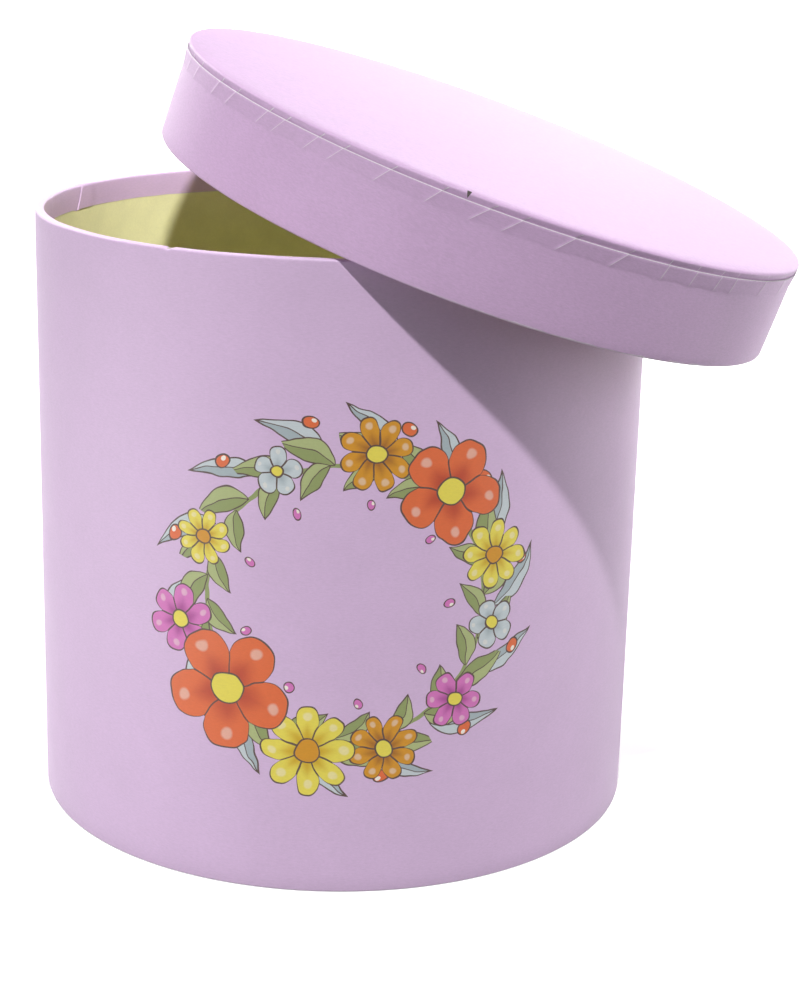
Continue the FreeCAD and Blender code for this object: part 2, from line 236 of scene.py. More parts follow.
# Where the lid's tabs are snipped on the side in view, in degrees around the lid.
SEEN_CUTS = (-148.9, -139.5, -134.0, -125.1, -121.1, -114.0, -109.2, -100.7, -92.1, -84.2, -78.9,
             -70.1, -60.8, -52.8, -46.7, -40.8, -36.6, -26.7, -17.6, -9.6)
UNSEEN_TABS = 27
TAB_WIDTHS = (5.5, 10.0)     # their widths, before they are fitted into the rest of the round
STEEP_CUTS = (0.7, 0.95)     # slant of most cuts, across for each unit up
UPRIGHT_CUTS = (0.15, 0.4)   # and of those at the right end of the side in view
UPRIGHT_PART = (-60, 10)     # from where to where those are


class Tabs:
    """The snipped tabs around the lid: cut by eye, so uneven in width and slant."""

    def __init__(self):
        by_eye = random.Random(11)
        widths = [by_eye.uniform(*TAB_WIDTHS) for _ in range(UNSEEN_TABS)]
        unseen = SEEN_CUTS[0] + 360 - SEEN_CUTS[-1]
        self.cuts = list(SEEN_CUTS)
        for width in widths:
            self.cuts.append(self.cuts[-1] + width * unseen / sum(widths))
        start, end = UPRIGHT_PART
        self.slants = [by_eye.uniform(*(UPRIGHT_CUTS if start <= cut <= end else STEEP_CUTS))
                       for cut in self.cuts]
        self.slants[-1] = self.slants[0]

    def place(self, turn):
        """The tab at a turn about the lid, and the share of its width that lies before it."""
        turn = (turn - self.cuts[0]) % 360 + self.cuts[0]
        after = min(bisect.bisect_right(self.cuts, turn), len(self.cuts) - 1)
        before = self.cuts[after - 1]
        return after - 1, (turn - before) / (self.cuts[after] - before)

    def sides(self, turn):
        """How far a turn lies after the cut before it, and before the cut after it, in degrees."""
        tab, share = self.place(turn)
        width = self.cuts[tab + 1] - self.cuts[tab]
        return share * width, (1 - share) * width

    def slanted(self, turn, height, radius, level):
        """A turn moved along the slant of the cuts, which is nothing at the given level."""
        tab, share = self.place(turn)
        slant = self.slants[tab] * (1 - share) + self.slants[tab + 1] * share
        return turn + math.degrees((height - level) * slant / radius)


def lid_place(sizes):
    """Where the lid lies: its inside on the rim at one side, its lower edge across the rim at two points."""
    lean = math.asin(sizes.lid_depth / (sizes.radius - sizes.lid_cross))
    reach = math.sqrt(sizes.lid_inside**2 - sizes.radius**2 + sizes.lid_cross**2)
    across = sizes.lid_cross + reach * math.cos(lean)
    up = sizes.height - reach * math.sin(lean) + sizes.rest_gap
    return Matrix.Translation((across, 0, up)) @ Matrix.Rotation(lean, 4, "Y")


def add(tree, kind, inputs=(), **settings):
    """Add a shader node with its settings, and link or set its inputs, which are given in order or by name.

    The first output in use is returned.
    """
    node = tree.nodes.new(f"ShaderNode{kind}")
    for name, setting in settings.items():
        setattr(node, name, setting)
    for name, source in (inputs if isinstance(inputs, dict) else dict(enumerate(inputs))).items():
        if isinstance(source, bpy.types.NodeSocket):
            tree.links.new(source, node.inputs[name])
        else:
            node.inputs[name].default_value = source
    return next(output for output in node.outputs if output.enabled)


A, B = 6, 7  # a Mix node's sockets for two colours


def new_group(name, inputs):
    """An empty node group with those inputs and a colour output: its tree, input sockets and output node."""
    tree = bpy.data.node_groups.new(name, "ShaderNodeTree")
    for label, kind in inputs.items():
        tree.interface.new_socket(name=label, in_out="INPUT", socket_type=f"NodeSocket{kind}")
    tree.interface.new_socket(name="Colour", in_out="OUTPUT", socket_type="NodeSocketColor")
    given = tree.nodes.new("NodeGroupInput").outputs
    return tree, given, tree.nodes.new("NodeGroupOutput")


LID_CHIP = (-88.2, 29.0)  # chip in the lid's top edge: degrees around the lid, and height of its lower tip

OUTLINE = 0.5      # width of the drawn outlines, in millimetres
GLINT = "#fff6ea"  # glints on petals and berries
# Parts of a flower, as shares of its radius.
HEART = 0.25
THROAT = (0.28, 0.75)      # where the throat's colour starts to fade, and where it ends
THROAT_DRAWN_IN = 0.22     # how much shorter the throat is at a petal's sides
PETAL_NOTCH = 0.4          # how far the edge falls back between two petals
PETAL_CURL = 2.6           # how late it does so: higher is blunter
GLINT_PLACE = 0.76
GLINT_REACH = (0.11, 0.07)


def drawn_flower(colours):
    """Node group that draws one flower over a colour: outlined round petals, a throat and a heart."""
    tree, given, drawn = new_group("Drawn flower", {
        "Under": "Color", "Point": "Vector", "Middle": "Vector", "Turn": "Float", "Radius": "Float",
        "Petals": "Float", "Petal": "Color", "Throat": "Color", "Heart": "Color"})
    offset = add(tree, "VectorMath", (given["Point"], given["Middle"]), operation="SUBTRACT")
    turned = add(tree, "VectorRotate", {"Vector": offset, "Angle": given["Turn"]}, rotation_type="Z_AXIS")
    across = add(tree, "SeparateXYZ", (turned,))
    reach = add(tree, "VectorMath", (offset,), operation="LENGTH")
    share = add(tree, "Math", (reach, given["Radius"]), operation="DIVIDE")
    angle = add(tree, "Math", (across.node.outputs["Y"], across), operation="ARCTAN2")
    half = add(tree, "Math", (math.pi, given["Petals"]), operation="DIVIDE")
    fold = add(tree, "Math", (angle, half), operation="PINGPONG")
    aside = add(tree, "Math", (fold, half), operation="DIVIDE")
    curl = add(tree, "Math", (aside, PETAL_CURL), operation="POWER")
    edge = add(tree, "Math", (curl, -PETAL_NOTCH, 1.0), operation="MULTIPLY_ADD")
    depth = add(tree, "Math", (edge, share), operation="SUBTRACT")
    inside = add(tree, "Math", (depth, 0.0), operation="GREATER_THAN")
    line = add(tree, "Math", (OUTLINE, given["Radius"]), operation="DIVIDE")
    rim = add(tree, "Math", (depth, line), operation="LESS_THAN")
    to_gap = add(tree, "Math", (half, fold), operation="SUBTRACT")
    gap = add(tree, "Math", (to_gap, share), operation="MULTIPLY")
    half_line = add(tree, "Math", (line, 0.5), operation="MULTIPLY")
    parting = add(tree, "Math", (gap, half_line), operation="LESS_THAN")
    outline = add(tree, "Math", (rim, parting), operation="MAXIMUM")
    # The throat runs out along each petal's middle line.
    along = add(tree, "Math", (aside, THROAT_DRAWN_IN, share), operation="MULTIPLY_ADD")
    bloom = add(tree, "MapRange", (along, *THROAT), interpolation_type="SMOOTHSTEP")
    petal = add(tree, "Mix", {"Factor": bloom, A: given["Throat"], B: given["Petal"]}, data_type="RGBA")
    # A pale glint near the tip of each petal, as a brush leaves it.
    glint_up = add(tree, "Math", (share, GLINT_PLACE), operation="SUBTRACT")
    glint_across = add(tree, "Math", (fold, 0.75), operation="MULTIPLY")
    glint_at = add(tree, "CombineXYZ", (glint_up, glint_across))
    glint_off = add(tree, "VectorMath", (glint_at,), operation="LENGTH")
    glint = add(tree, "MapRange", (glint_off, *GLINT_REACH, 0, 0.38))
    petal = add(tree, "Mix", {"Factor": glint, A: petal, B: linear(GLINT)}, data_type="RGBA")
    heart = add(tree, "Math", (share, HEART), operation="LESS_THAN")
    petal = add(tree, "Mix", {"Factor": outline, A: petal, B: colours.ink}, data_type="RGBA")
    petal = add(tree, "Mix", {"Factor": heart, A: petal, B: given["Heart"]}, data_type="RGBA")
    heart_off = add(tree, "Math", (share, HEART), operation="SUBTRACT")
    heart_rim = add(tree, "Math", (heart_off, 0.0, half_line), operation="COMPARE")
    petal = add(tree, "Mix", {"Factor": heart_rim, A: petal, B: colours.ink}, data_type="RGBA")
    result = add(tree, "Mix", {"Factor": inside, A: given["Under"], B: petal}, data_type="RGBA")
    tree.links.new(result, drawn.inputs[0])
    return tree


def drawn_leaf(colours):
    """Node group that draws one leaf over a colour: outlined, with a midrib and one half in shade."""
    tree, given, drawn = new_group("Drawn leaf", {
        "Under": "Color", "Point": "Vector", "Foot": "Vector", "Turn": "Float", "Length": "Float",
        "Width": "Float", "Leaf": "Color", "Shade": "Color"})
    offset = add(tree, "VectorMath", (given["Point"], given["Foot"]), operation="SUBTRACT")
    turned = add(tree, "VectorRotate", {"Vector": offset, "Angle": given["Turn"]}, rotation_type="Z_AXIS")
    along = add(tree, "SeparateXYZ", (turned,))
    across = along.node.outputs["Y"]
    share = add(tree, "Math", (along, given["Length"]), operation="DIVIDE", use_clamp=True)
    early = add(tree, "Math", (share, 0.8), operation="POWER")
    arch = add(tree, "Math", (early, math.pi), operation="MULTIPLY")
    swell = add(tree, "Math", (arch,), operation="SINE")
    belly = add(tree, "Math", (swell, given["Width"]), operation="MULTIPLY")
    # The leaf bends a little to one side.
    bent = add(tree, "Math", (swell, -1.1, across), operation="MULTIPLY_ADD")
    off_rib = add(tree, "Math", (bent,), operation="ABSOLUTE")
    depth = add(tree, "Math", (0.5, belly), operation="MULTIPLY")
    depth = add(tree, "Math", (depth, off_rib), operation="SUBTRACT")
    inside = add(tree, "Math", (depth, 0.0), operation="GREATER_THAN")
    rim = add(tree, "Math", (depth, OUTLINE * 0.8), operation="LESS_THAN")
    rib = add(tree, "Math", (off_rib, OUTLINE * 0.3), operation="LESS_THAN")
    outline = add(tree, "Math", (rim, rib), operation="MAXIMUM")
    shaded = add(tree, "Math", (bent, 0.0), operation="LESS_THAN")
    leaf = add(tree, "Mix", {"Factor": shaded, A: given["Leaf"], B: given["Shade"]}, data_type="RGBA")
    leaf = add(tree, "Mix", {"Factor": outline, A: leaf, B: colours.ink}, data_type="RGBA")
    result = add(tree, "Mix", {"Factor": inside, A: given["Under"], B: leaf}, data_type="RGBA")
    tree.links.new(result, drawn.inputs[0])
    return tree


def drawn_berry(colours):
    """Node group that draws one round berry over a colour: outlined, with a glint."""
    tree, given, drawn = new_group("Drawn berry", {
        "Under": "Color", "Point": "Vector", "Middle": "Vector", "Radius": "Float", "Berry": "Color"})
    offset = add(tree, "VectorMath", (given["Point"], given["Middle"]), operation="SUBTRACT")
    reach = add(tree, "VectorMath", (offset,), operation="LENGTH")
    depth = add(tree, "Math", (given["Radius"], reach), operation="SUBTRACT")
    inside = add(tree, "Math", (depth, 0.0), operation="GREATER_THAN")
    rim = add(tree, "Math", (depth, OUTLINE * 0.8), operation="LESS_THAN")
    to_glint = add(tree, "VectorMath", (offset, (-0.7, 0.7, 0.0)), operation="DISTANCE")
    glint = add(tree, "Math", (to_glint, 0.65), operation="LESS_THAN")
    berry = add(tree, "Mix", {"Factor": glint, A: given["Berry"], B: linear(GLINT)}, data_type="RGBA")
    berry = add(tree, "Mix", {"Factor": rim, A: berry, B: colours.ink}, data_type="RGBA")
    result = add(tree, "Mix", {"Factor": inside, A: given["Under"], B: berry}, data_type="RGBA")
    tree.links.new(result, drawn.inputs[0])
    return tree


PRINT_TURN = -78.5     # middle of the print around the box, in degrees
PRINT_HEIGHT = 94.0    # middle of the print above the table, in millimetres
WREATH = 43.0          # radius of the wreath, in millimetres

# Flowers of the wreath: across, up, radius (millimetres), turn (radians), petals and colours.
FLOWERS = (
    (-44.0, 18.0, 9.0, 0.3, 8, "yellow", "deep_yellow", "amber"),
    (-21.0, 40.0, 7.5, 1.0, 5, "pale", "deep_pale", "yellow"),
    (46.0, -9.0, 8.0, 0.6, 5, "pale", "deep_pale", "yellow"),
    (34.0, -32.0, 9.5, 0.1, 6, "pink", "deep_pink", "yellow"),
    (8.0, 46.0, 11.5, 0.5, 8, "amber", "deep_amber", "yellow"),
    (46.0, 13.0, 11.0, 0.9, 8, "yellow", "deep_yellow", "amber"),
    (31.0, 34.0, 16.5, 0.2, 5, "red", "deep_red", "yellow"),
    (-52.0, -9.0, 11.0, 0.7, 6, "pink", "deep_pink", "yellow"),
    (12.0, -46.0, 11.0, 0.4, 8, "amber", "deep_amber", "yellow"),
    (-11.0, -47.0, 14.5, 0.0, 8, "yellow", "deep_yellow", "amber"),
    (-36.0, -29.0, 20.0, 0.35, 5, "red", "deep_red", "yellow"),
)

# Rings of like leaves: count, phase, foot (along, outward), turn, length, width and colours.
LEAF_RINGS = (
    (14, 0.35, (-6.0, 3.0), -0.85, 21.0, 6.0, "pale", "deep_pale"),
    (19, 0.10, (-5.0, 0.0), -0.62, 17.0, 7.4, "sage", "deep_sage"),
    (17, 0.60, (-5.0, 0.0), 0.58, 15.0, 6.6, "sage", "deep_sage"),
)

# Rings of like berries: count, phase, middle (along, outward), radius and colour.
BERRY_RINGS = (
    (12, 0.15, (1.0, 13.5), 2.1, "red"),
    (9, 0.55, (0.0, -11.5), 1.9, "pink"),
)


def wreath(tree, point, ground, colours):
    """Draw a wreath of leaves, berries and flowers over a ground colour, at a point in millimetres."""
    flower, leaf, berry = drawn_flower(colours), drawn_leaf(colours), drawn_berry(colours)
    # An unsteady hand: the drawing wanders by a few tenths of a millimetre.
    shake = add(tree, "TexNoise", {"Vector": point, "Scale": 0.13, "Detail": 1.0})
    shake = add(tree, "VectorMath", (shake.node.outputs["Color"], (0.5, 0.5, 0.5)), operation="SUBTRACT")
    point = add(tree, "VectorMath", (shake, (2.4, 2.4, 0.0), point), operation="MULTIPLY_ADD")
    across = add(tree, "SeparateXYZ", (point,))
    angle = add(tree, "Math", (across.node.outputs["Y"], across), operation="ARCTAN2")
    reach = add(tree, "VectorMath", (point,), operation="LENGTH")
    outward = add(tree, "Math", (reach, WREATH), operation="SUBTRACT")
    stem = add(tree, "Math", (outward, 0.0, 0.7), operation="COMPARE")
    drawn = add(tree, "Mix", {"Factor": stem, A: ground, B: colours.deep_sage}, data_type="RGBA")

    def repeated(count, phase):
        """Points along and outward from the wreath, repeated around it."""
        turns = add(tree, "Math", (angle, count / math.tau, phase), operation="MULTIPLY_ADD")
        share = add(tree, "Math", (turns, 1.0), operation="FLOORED_MODULO")
        width = math.tau * WREATH / count
        along = add(tree, "Math", (share, width, -width / 2), operation="MULTIPLY_ADD")
        return add(tree, "CombineXYZ", (along, outward))

    for count, phase, foot, turn, size, width, face, shade in LEAF_RINGS:
        drawn = add(tree, "Group", {
            "Under": drawn, "Point": repeated(count, phase), "Foot": (*foot, 0.0), "Turn": turn,
            "Length": size, "Width": width, "Leaf": getattr(colours, face),
            "Shade": getattr(colours, shade)}, node_tree=leaf)
    for count, phase, middle, radius, face in BERRY_RINGS:
        drawn = add(tree, "Group", {
            "Under": drawn, "Point": repeated(count, phase), "Middle": (*middle, 0.0), "Radius": radius,
            "Berry": getattr(colours, face)}, node_tree=berry)
    for across, up, radius, turn, petals, face, throat, heart in FLOWERS:
        drawn = add(tree, "Group", {
            "Under": drawn, "Point": point, "Middle": (across, up, 0.0), "Turn": turn, "Radius": radius,
            "Petals": petals, "Petal": getattr(colours, face), "Throat": getattr(colours, throat),
            "Heart": getattr(colours, heart)}, node_tree=flower)
    return drawn


def new_material(name):
    """A named material: itself, its node tree, its shader, and the place on the object that it colours."""
    material = bpy.data.materials.new(name)
    material.use_nodes = True
    tree = material.node_tree
    return material, tree, tree.nodes["Principled BSDF"], add(tree, "TexCoord").node.outputs["Object"]


def made_once(name, make, *given, **settings):
    """The material of that name, made when the first piece asks for it."""
    return bpy.data.materials.get(name) or make(name, *given, **settings)


CLOUD = 18 * MM       # clouds of ink on the covering paper, across
GRAIN = 1.4 * MM      # fibres of the covering paper: 0.1 mm thick, drawn as grains of 0.45 by 1.4 mm, to show
GRAIN_RUN = 3.0       # how much longer the grains are around the box than up it
GRAIN_DEPTH = 0.06    # how much lighter and darker they are on the body
LID_GRAIN_DEPTH = 0.09
FILM_IOR = 1.6        # matt film over coated paper


def covering_paper(name, colours, printed=False, lid=None):
    """Offset-printed coated paper with a matt film: an even ink ground, faintly clouded and grained, satin.

    On the lid, whose place is given, its ground is a deeper lilac that paints shade onto the lid; it is worn
    pale along the lower fold, painted pale over the ridges at the tabs' ends as highlight and worn ink, and
    chipped at one spot of the top edge.
    """
    material, tree, shader, place = new_material(name)
    # On the lid the ground is the deeper lilac, which paints shade onto it.
    ground = colours.lid_shaded_lilac[:3] if lid else colours.lilac[:3]
    if printed:
        turned = add(tree, "VectorRotate", {"Vector": place, "Angle": -math.radians(PRINT_TURN)},
                     rotation_type="Z_AXIS")
        out = add(tree, "SeparateXYZ", (turned,))
        angle = add(tree, "Math", (out.node.outputs["Y"], out), operation="ARCTAN2")
        across = add(tree, "Math", (angle, WALL / MM), operation="MULTIPLY")
        up = add(tree, "Math", (out.node.outputs["Z"], 1 / MM, -PRINT_HEIGHT), operation="MULTIPLY_ADD")
        point = add(tree, "CombineXYZ", (across, up))
        ground = wreath(tree, point, colours.lilac, colours)
    if lid:
        place = add(tree, "Mapping", {"Vector": place, "Location": lid.to_translation(),
                                      "Rotation": lid.to_euler()}, vector_type="TEXTURE")
    clouds = add(tree, "TexNoise", {"Vector": place, "Scale": 1 / CLOUD, "Detail": 4.0})
    tone = add(tree, "MapRange", (clouds, 0.3, 0.7, 0.975, 1.025))
    run = add(tree, "Mapping", {"Vector": place, "Scale": (1.0, 1.0, GRAIN_RUN)})
    grain = add(tree, "TexNoise", {"Vector": run, "Scale": 1 / GRAIN, "Detail": 3.0, "Roughness": 0.75})
    depth = LID_GRAIN_DEPTH if lid else GRAIN_DEPTH
    speck = add(tree, "MapRange", (grain, 0.25, 0.75, 1 - depth, 1 + depth))
    tone = add(tree, "Math", (tone, speck), operation="MULTIPLY")
    ink = add(tree, "VectorMath", {0: ground, "Scale": tone}, operation="SCALE")
    if lid:
        ink = lid_wear_and_highlights(tree, place, ink, colours)
    tree.links.new(ink, shader.inputs["Base Color"])
    gloss = add(tree, "MapRange", (clouds, 0, 1, 0.5, 0.62))
    tree.links.new(gloss, shader.inputs["Roughness"])
    bump = add(tree, "Bump", {"Height": grain, "Strength": 0.8, "Distance": 0.055 * MM})
    tree.links.new(bump, shader.inputs["Normal"])
    shader.inputs["IOR"].default_value = FILM_IOR
    return material


SCUFF = 6 * MM         # patches of wear along the lid's lower fold, across
CHIP_FLARE = 0.36      # half width of the chip for each millimetre up from its tip
CHIP_DEPTH = 102.2     # the chip shows from this radius outward


def lid_wear_and_highlights(tree, place, ink, colours):
    """Wear the ink off along the lid's lower fold, paint the ridges over the tabs' ends pale as highlight and
    worn ink, and chip its top edge.
    """
    where = add(tree, "SeparateXYZ", (place,))
    height = where.node.outputs["Z"]
    scuff = add(tree, "TexNoise", {"Vector": place, "Scale": 1 / SCUFF, "Detail": 4.0})
    reach = add(tree, "MapRange", (scuff, 0.35, 0.65, 0.2 * MM, 0.8 * MM))
    fold = add(tree, "Math", (height, reach), operation="LESS_THAN")
    # Only on the side that slides over the box's rim.
    handled = add(tree, "MapRange", (where, -20 * MM, 25 * MM, 0, 0.55))
    fold = add(tree, "Math", (fold, handled), operation="MULTIPLY")
    # The ridges over the tabs' ends are painted pale: a painted highlight on each ridge, and ink worn off it.
    ridges = add(tree, "Attribute", attribute_name="rubbed_and_highlight").node.outputs["Fac"]
    rubbed_and_highlight = add(tree, "Math", (fold, ridges), operation="MAXIMUM")
    ink = add(tree, "Mix", {"Factor": rubbed_and_highlight, A: ink, B: colours.core}, data_type="RGBA")
    turned = add(tree, "VectorRotate", {"Vector": place, "Angle": -math.radians(LID_CHIP[0])},
                 rotation_type="Z_AXIS")
    out = add(tree, "SeparateXYZ", (turned,))
    aside = add(tree, "Math", (out.node.outputs["Y"],), operation="ABSOLUTE")
    above = add(tree, "Math", (height, LID_CHIP[1] * MM), operation="SUBTRACT")
    flare = add(tree, "Math", (above, CHIP_FLARE), operation="MULTIPLY")
    torn = add(tree, "Math", (flare, aside), operation="GREATER_THAN")
    edge = add(tree, "Math", (out, CHIP_DEPTH * MM), operation="GREATER_THAN")
    torn = add(tree, "Math", (torn, edge), operation="MULTIPLY")
    # The chip is painted as a flat near-black triangle.
    return add(tree, "Mix", {"Factor": torn, A: ink, B: linear("#3a302b")}, data_type="RGBA")


def paper_core(name, colours):
    """Bleached pulp where the coated paper is cut or turned over: dull white, with a soft fibrous edge."""
    material, tree, shader, place = new_material(name)
    fibres = add(tree, "TexNoise", {"Vector": place, "Scale": 1 / (0.8 * MM), "Detail": 3.0})
    tone = add(tree, "MapRange", (fibres, 0, 1, 0.8, 1.1))
    pulp = add(tree, "VectorMath", {0: colours.core[:3], "Scale": tone}, operation="SCALE")
    tree.links.new(pulp, shader.inputs["Base Color"])
    shader.inputs["Roughness"].default_value = 0.85
    return material


def lining_paper(name, colours):
    """Uncoated dyed paper: matt, with pale and dark fibres and a slight mottle where the glue drew in."""
    material, tree, shader, place = new_material(name)
    mottle = add(tree, "TexNoise", {"Vector": place, "Scale": 1 / (9 * MM), "Detail": 5.0})
    tone = add(tree, "MapRange", (mottle, 0.3, 0.7, 0.95, 1.04))
    fibres = add(tree, "TexNoise", {"Vector": place, "Scale": 1 / (0.7 * MM), "Detail": 2.0})
    fleck = add(tree, "MapRange", (fibres, 0.3, 0.7, 0.975, 1.025))
    tone = add(tree, "Math", (tone, fleck), operation="MULTIPLY")
    dyed = add(tree, "VectorMath", {0: colours.lining[:3], "Scale": tone}, operation="SCALE")
    tree.links.new(dyed, shader.inputs["Base Color"])
    bump = add(tree, "Bump", {"Height": fibres, "Strength": 0.3, "Distance": 0.03 * MM})
    tree.links.new(bump, shader.inputs["Normal"])
    shader.inputs["Roughness"].default_value = 0.8
    return material


def grey_board(name, colours):
    """Board of pressed waste paper: dull grey with darker and paler flecks of fibre up to 2 mm long."""
    material, tree, shader, place = new_material(name)
    flecks = add(tree, "TexNoise", {"Vector": place, "Scale": 1 / (2 * MM), "Detail": 6.0})
    tone = add(tree, "MapRange", (flecks, 0, 1, 0.75, 1.25))
    pulp = add(tree, "VectorMath", {0: colours.board[:3], "Scale": tone}, operation="SCALE")
    tree.links.new(pulp, shader.inputs["Base Color"])
    bump = add(tree, "Bump", {"Height": flecks, "Strength": 0.4, "Distance": 0.05 * MM})
    tree.links.new(bump, shader.inputs["Normal"])
    shader.inputs["Roughness"].default_value = 0.9
    return material


def gummed_tape(name, colours):
    """Brown kraft tape: smooth on its glazed side, streaked along the paper's run."""
    material, tree, shader, place = new_material(name)
    run = add(tree, "Mapping", {"Vector": place, "Scale": (1.0, 1.0, 0.12)})
    streaks = add(tree, "TexNoise", {"Vector": run, "Scale": 1 / (1.2 * MM), "Detail": 3.0})
    tone = add(tree, "MapRange", (streaks, 0, 1, 0.85, 1.15))
    kraft = add(tree, "VectorMath", {0: colours.tape[:3], "Scale": tone}, operation="SCALE")
    tree.links.new(kraft, shader.inputs["Base Color"])
    shader.inputs["Roughness"].default_value = 0.55
    return material


BODY_COLUMNS = 600
LID_COLUMNS = 1080
# Places around the box or the lid, in degrees.
WRAP_LAP = 168.0       # free edge of the body's paper
WRAP_LAP_WIDTH = 5.7
WRAP_LAP_EDGE = 0.12   # width of the step at that edge
WRAP_LAP_SLANT = 1.9   # slant of that edge inside the mouth
RIM_NICK = -110.7      # dent in the rim
TURN_IN_CREASE = 185.0
SNIP_STEP = 10.0       # from notch to notch in the paper under the foot
SNIP_GAP = 0.1         # width of a snip's edge between the lid's tabs
LID_LAP = 130.6        # free edge of the lid's side paper
LID_LAP_WIDTH = 5.6
# Folds and relief of the body's paper.
FOOT_FOLD = 0.4 * MM       # rounding at the foot
MOUTH_FOLD = 0.5 * MM      # rounding at the inner edge of the rim
RIM_BAND = 12 * MM         # band under the rim with closer rows of faces
SWELL = 0.08 * MM          # wide swells of the wall
WRINKLE = 0.05 * MM        # wrinkles under the rim
LOOSE = 0.03 * MM          # play of the paper turned into the mouth
CREASE = 0.22 * MM
END_WANDER = 0.22 * MM     # uneven cut of its end
END_TAIL = 0.6 * MM        # longer end at the lap and at the crease
END_PRESS = 0.17 * MM      # its end lies down on the lining
RIM_WANDER = 0.1 * MM
NICK = 0.5 * MM
SHEET_SWELL = 0.05 * MM    # slight swells of the other papers


class GIFTBOX_OT_body_paper(bpy.types.Operator):
    """Covering paper on the tube: turned under the foot, up the outside, over the rim and into the mouth"""
    bl_idname = "giftbox.body_paper"
    bl_label = "Body paper"

    def execute(self, context):
        sizes, colours = context.scene.giftbox_sizes, context.scene.giftbox_colours
        foot = sizes.paper
        bm = turned_sheet([
            (sizes.radius - sizes.turn_under, foot, 0, 3),
            (sizes.radius, foot, FOOT_FOLD, 34),
            (sizes.radius, sizes.height - RIM_BAND, 0, 7),
            (sizes.radius, sizes.height, sizes.rim_round, 1),
            (sizes.mouth, sizes.height, MOUTH_FOLD, 6),
            (sizes.mouth, sizes.height - sizes.turn_in, 0, 1),
        ], BODY_COLUMNS, (0.3, 0.1))
        snips = [face for face in bm.faces
                 if face.calc_center_median().z < foot + 0.01 * MM
                 and around(face.calc_center_median())[1] < sizes.radius - 2 * MM
                 and around(face.calc_center_median())[0] % SNIP_STEP < 360 / BODY_COLUMNS]
        bmesh.ops.delete(bm, geom=snips, context="FACES")
        for vert in bm.verts:
            self.shape(vert, sizes)
        paper = made_once("printed_covering_paper", covering_paper, colours, printed=True)
        core = made_once("paper_core", paper_core, colours)
        finish_piece("body_paper", bm, sizes.paper, [paper, core], "box", "body_wrap")
        return {"FINISHED"}

    def shape(self, vert, sizes):
        """Swell, lap, dent and crease the paper at one vertex."""
        turn, radius, height = around(vert.co)
        turn = gather(turn, (WRAP_LAP,), 360 / BODY_COLUMNS, WRAP_LAP_EDGE)
        outside = radius > sizes.radius - 0.5 * MM
        folded_in = radius < sizes.mouth + 0.05 * MM and height > sizes.height / 2
        top = ease(sizes.height - 9 * MM, sizes.height - 1 * MM, height)
        past = away(WRAP_LAP, turn)
        lapped = (past > 0) * (1 - ease(WRAP_LAP_WIDTH - 2, WRAP_LAP_WIDTH, past))
        crease = hump(turn, TURN_IN_CREASE, 0.5)
        if outside:
            radius += SWELL * (1 + wander(turn, height, 45 * MM)) * ease(0, 8 * MM, height) * (1 - top)
            wrinkled = ease(sizes.height - 6 * MM, sizes.height - 3 * MM, height) * ease(-100, -115, turn)
            radius += WRINKLE * wander(turn * 0.6, height * 2.5, 3 * MM) * wrinkled
        if folded_in:
            loose = ease(sizes.height - 0.5 * MM, sizes.height - 3 * MM, height)
            radius -= (LOOSE * (1 + wander(turn, height * 0.3, 4 * MM)) + CREASE * crease) * loose
            end = ease(sizes.height - 3 * MM, sizes.height - sizes.turn_in, height)
            tail = hump(turn, WRAP_LAP + 0.8, 0.9) + hump(turn, TURN_IN_CREASE, 1.5)
            height += (END_WANDER * wander(turn, 0, 9 * MM) - END_TAIL * tail) * end
            radius += END_PRESS * end
            turn += WRAP_LAP_SLANT * (sizes.height - height) / sizes.turn_in * hump(turn, WRAP_LAP, 5)
        if height > 1 * MM:
            out = sizes.paper * lapped
            radius += out if outside else -out if folded_in else 0
            height += out * top if not folded_in else 0
        rim = ease(sizes.height - 4 * MM, sizes.height - 0.5 * MM, height)
        height += (RIM_WANDER * wander(turn, 0, 16 * MM) - NICK * hump(turn, RIM_NICK, 0.55)) * rim
        put(vert, turn, radius, height)


class GIFTBOX_OT_box_linings(bpy.types.Operator):
    """Lining papers of the tube and its floor, and the paper that closes the underside"""
    bl_idname = "giftbox.box_linings"
    bl_label = "Box linings"

    def execute(self, context):
        sizes, colours = context.scene.giftbox_sizes, context.scene.giftbox_colours
        lining = made_once("uncoated_lining_paper", lining_paper, colours)
        wall = turned_sheet([
            (sizes.lining_radius, sizes.floor - 2.5 * MM, 0, 30),
            (sizes.lining_radius, sizes.height - 0.5 * MM, 0, 1),
        ], 240, (0, 0.1))
        for vert in wall.verts:
            turn, radius, height = around(vert.co)
            put(vert, turn, radius - SHEET_SWELL * (1 + wander(turn, height, 30 * MM)), height)
        finish_piece("wall_lining", wall, sizes.lining, [lining], "box", "wall_liner")
        floor = turned_sheet([
            (0, sizes.floor, 0, 16),
            (sizes.lining_radius - 0.2 * MM, sizes.floor, 0, 1),
        ], 180, (0, 0.1))
        for vert in floor.verts:
            vert.co.z += 1.2 * SHEET_SWELL * (1 + noise.noise(vert.co / (25 * MM)))
        finish_piece("floor_lining", floor, sizes.lining, [lining], "box", "floor_liner")
        paper = made_once("coated_covering_paper", covering_paper, colours)
        core = made_once("paper_core", paper_core, colours)
        base = turned_sheet([
            (0, 0, 0, 12),
            (sizes.radius - sizes.base_inset, 0, 0, 1),
        ], 180, (0, -0.1))
        for vert in base.verts:
            inward = ease(90 * MM, 80 * MM, vert.co.xy.length)
            vert.co.z += SHEET_SWELL * (1 + noise.noise(vert.co / (20 * MM))) * inward
        thin = 0.75 * sizes.paper
        finish_piece("base_paper", base, thin, [paper, core], "box", "base_cover")
        return {"FINISHED"}


